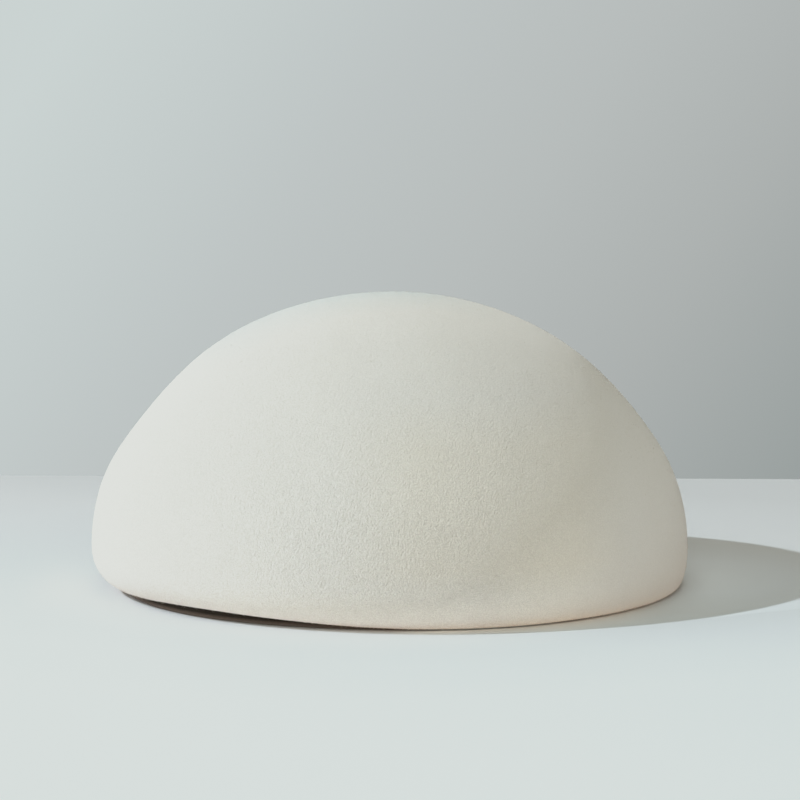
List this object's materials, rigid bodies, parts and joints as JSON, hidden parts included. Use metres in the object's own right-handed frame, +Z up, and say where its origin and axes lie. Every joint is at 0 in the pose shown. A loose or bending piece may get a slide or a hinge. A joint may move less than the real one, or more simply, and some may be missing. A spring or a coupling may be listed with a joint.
{
  "type": "felt dome pillbox hat",
  "caption": "Small brimless dome hat blocked from one piece of thick off-white wool felt, its edge curled under, with a dark ribbon sweatband sewn inside.",
  "frame": {"origin": "on the surface that the hat rests on, under the middle of its box", "axes": "+Z up, -X towards the front of the hat, +X towards its back, +Y and -Y towards its sides"},
  "size_m": [0.2124, 0.1826, 0.104],
  "materials": {
    "felt": "thick off-white wool felt, matt, with a fine short nap",
    "ribbon": "dark taupe-brown grosgrain ribbon, fine upright ribs"
  },
  "bodies": {
    "root": {"felt_crown": "felt", "sweatband": "ribbon"}
  },
  "joints": []
}
